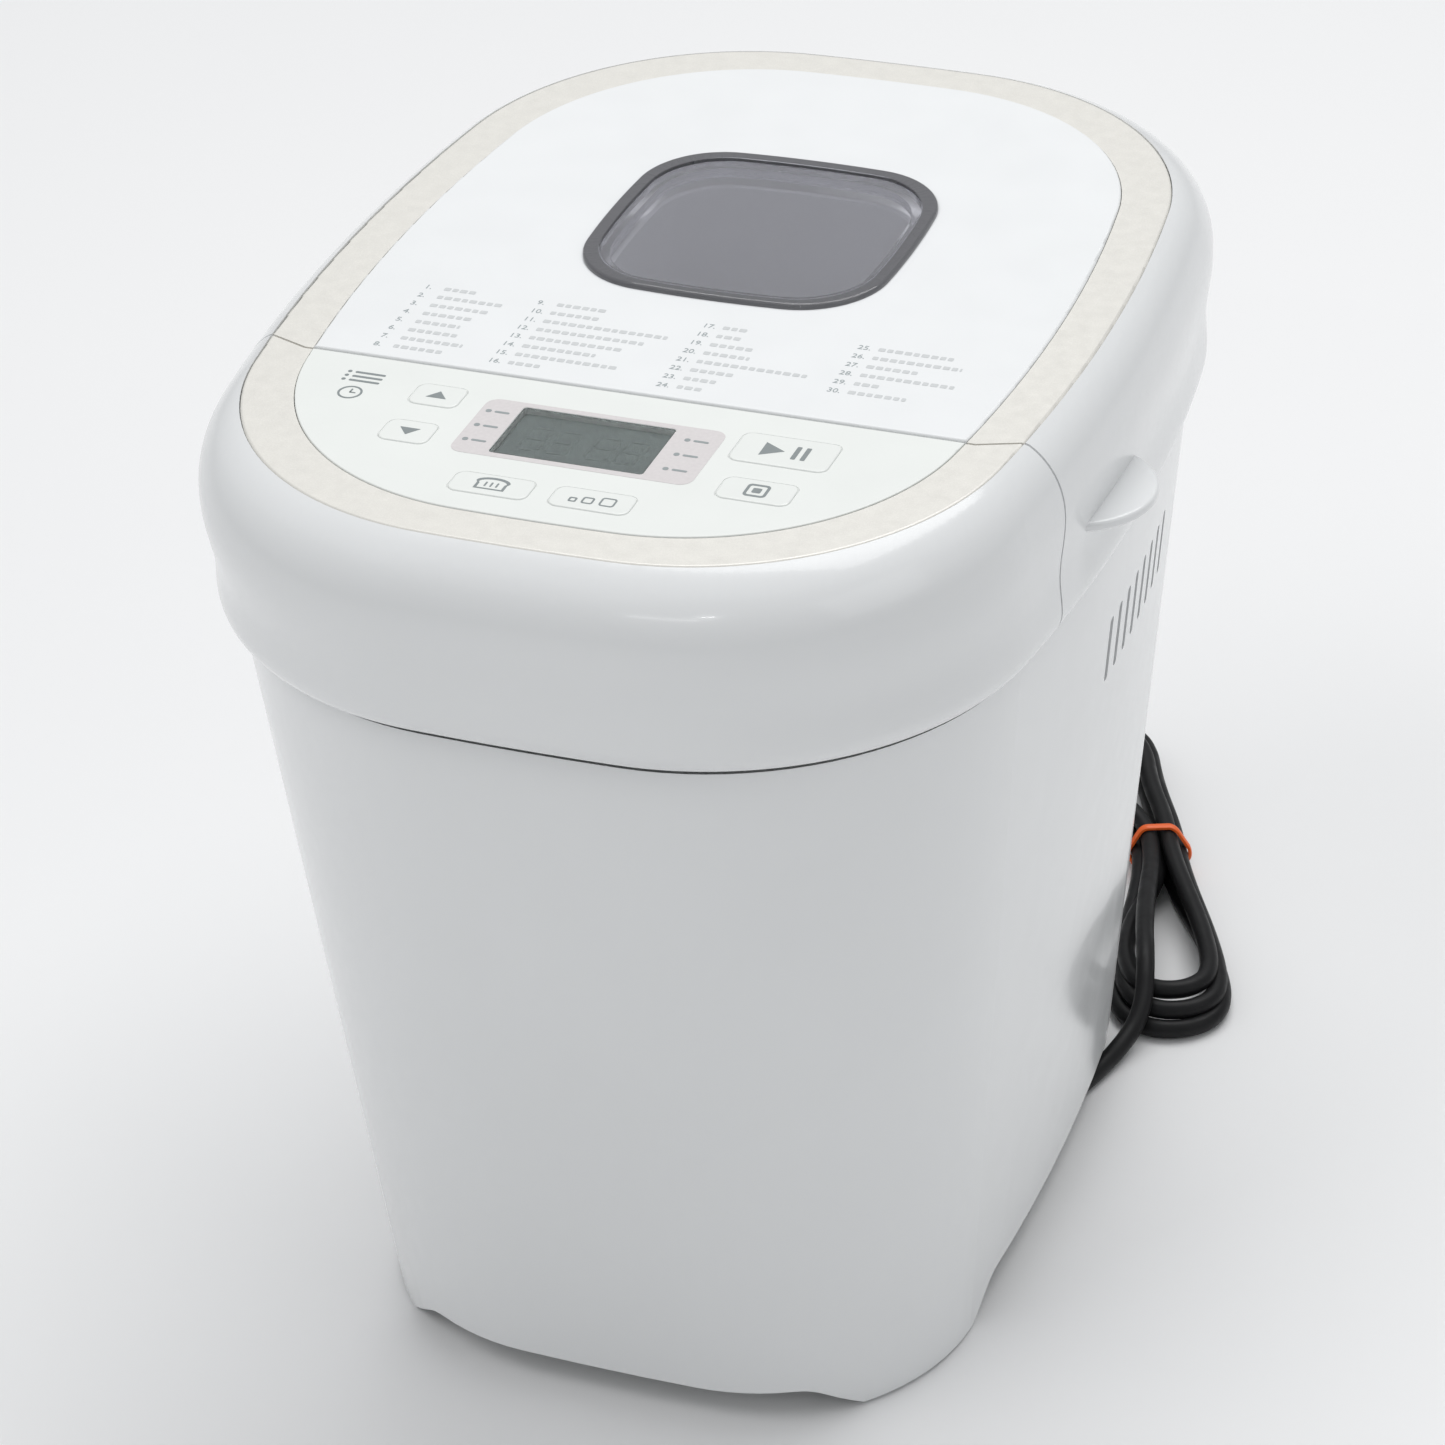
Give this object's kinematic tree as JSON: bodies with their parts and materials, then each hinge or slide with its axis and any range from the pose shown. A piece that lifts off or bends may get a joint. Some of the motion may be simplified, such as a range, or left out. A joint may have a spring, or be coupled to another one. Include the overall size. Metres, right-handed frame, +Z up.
{
  "type": "bread machine",
  "caption": "Tapered home bread machine with hinged windowed lid, front control panel, baking chamber, removable pan, kneading paddle and belt drive.",
  "frame": {"origin": "on the floor, under the centre of the body", "axes": "+X to the right seen from the front, +Y to the back, +Z up"},
  "size_m": [0.262, 0.4185, 0.2984],
  "materials": {
    "shell_white": "gloss white",
    "panel_white": "gloss white",
    "film_white": "satin film",
    "key_white": "satin film",
    "ring_beige": "satin",
    "smoked_clear": "smoked clear",
    "clear_glass": "clear",
    "lcd_grey": "satin",
    "board_green": "satin",
    "inner_white": "matt",
    "silicone": "matt",
    "black_rubber": "satin",
    "tie_orange": "satin",
    "steel": "satin",
    "sheet_steel": "aluminised sheet",
    "pan_grey": "dark non-stick coat",
    "cast_aluminium": "as cast",
    "ceramic_white": "glazed",
    "dark_plastic": "matt",
    "brass_pins": "plated"
  },
  "bodies": {
    "body": {"lower_body_shell": "shell_white", "base_plate": "inner_white", "rubber_feet": "silicone", "standoffs": "steel", "base_screws": "steel", "top_deck": "sheet_steel", "upper_front_shell": "shell_white", "front_trim_ring": "ring_beige", "control_panel": "film_white", "lcd_window": "clear_glass", "lcd_module": "lcd_grey", "control_board": "board_green", "body_hinge_brackets": "shell_white", "hinge_pins": "steel", "oven_chamber": "sheet_steel", "heating_element": "steel", "element_bushings": "ceramic_white", "temperature_probe": "steel", "pan_socket": "cast_aluminium", "chassis_plate": "steel", "drive_bearing": "cast_aluminium", "drive_belt": "black_rubber", "motor": "steel", "power_board": "board_green", "cord_gland": "black_rubber", "power_cord_lead": "black_rubber", "power_cord_tail": "black_rubber", "power_cord_hank": "black_rubber", "cord_tie": "tie_orange", "plug_body": "black_rubber", "plug_pins": "brass_pins"},
    "lid": {"lid_shell": "shell_white", "lid_trim_ring": "ring_beige", "lid_top_panel": "panel_white", "window_lens": "smoked_clear", "window_frame": "inner_white", "lid_inner_plate": "sheet_steel", "inner_window_glass": "clear_glass", "window_seal": "silicone", "lid_hinge_brackets": "shell_white"},
    "pan": {"bread_pan": "pan_grey", "pan_foot": "cast_aluminium", "pan_bushing": "cast_aluminium", "handle_pivots": "steel"},
    "bail": {"pan_handle": "steel"},
    "paddle": {"kneading_paddle": "pan_grey", "paddle_shaft": "steel", "pan_coupling": "cast_aluminium"},
    "drive": {"drive_shaft": "steel", "drive_coupling": "dark_plastic", "driven_pulley": "dark_plastic"},
    "motor_rotor": {"motor_shaft": "steel", "motor_pulley": "cast_aluminium", "motor_fan": "dark_plastic"},
    "key_menu_up": {"key_menu_up": "key_white"},
    "key_menu_down": {"key_menu_down": "key_white"},
    "key_crust": {"key_crust": "key_white"},
    "key_size": {"key_size": "key_white"},
    "key_start": {"key_start": "key_white"},
    "key_cancel": {"key_cancel": "key_white"}
  },
  "joints": [
    {"name": "lid_hinge", "type": "hinge", "parent": "body", "child": "lid", "pos_m": [0, 0.1591, 0.2383], "axis": [-1, 0, 0], "range_deg": [0, 80]},
    {"name": "pan_twist", "type": "hinge", "parent": "body", "child": "pan", "pos_m": [0, 0.0323, 0.0674], "axis": [0, 0, 1], "range_deg": [0, 14]},
    {"name": "bail_swing", "type": "hinge", "parent": "pan", "child": "bail", "pos_m": [0, 0.0323, 0.214], "axis": [1, 0, 0], "range_deg": [0, 18]},
    {"name": "drive_spin", "type": "hinge", "parent": "body", "child": "drive", "pos_m": [0, 0.0323, 0.028], "axis": [0, 0, 1], "continuous": true},
    {"name": "paddle_spin", "type": "hinge", "parent": "pan", "child": "paddle", "pos_m": [0, 0.0323, 0.09], "axis": [0, 0, 1], "continuous": true},
    {"name": "motor_spin", "type": "hinge", "parent": "body", "child": "motor_rotor", "pos_m": [0.03, -0.088, 0.028], "axis": [0, 0, 1], "continuous": true},
    {"name": "key_menu_up_press", "type": "slide", "parent": "body", "child": "key_menu_up", "axis": [0, 0, -1], "range_m": [0, 0.0005], "stiffness_N_per_m": 1500, "springref_m": -0.0003},
    {"name": "key_menu_down_press", "type": "slide", "parent": "body", "child": "key_menu_down", "axis": [0, 0, -1], "range_m": [0, 0.0005], "stiffness_N_per_m": 1500, "springref_m": -0.0003},
    {"name": "key_crust_press", "type": "slide", "parent": "body", "child": "key_crust", "axis": [0, 0, -1], "range_m": [0, 0.0005], "stiffness_N_per_m": 1500, "springref_m": -0.0003},
    {"name": "key_size_press", "type": "slide", "parent": "body", "child": "key_size", "axis": [0, 0, -1], "range_m": [0, 0.0005], "stiffness_N_per_m": 1500, "springref_m": -0.0003},
    {"name": "key_start_press", "type": "slide", "parent": "body", "child": "key_start", "axis": [0, 0, -1], "range_m": [0, 0.0005], "stiffness_N_per_m": 1500, "springref_m": -0.0003},
    {"name": "key_cancel_press", "type": "slide", "parent": "body", "child": "key_cancel", "axis": [0, 0, -1], "range_m": [0, 0.0005], "stiffness_N_per_m": 1500, "springref_m": -0.0003}
  ],
  "couplings": [
    {"joint": "paddle_spin", "follows": "drive_spin", "ratio": 1},
    {"joint": "motor_spin", "follows": "drive_spin", "ratio": 5}
  ]
}
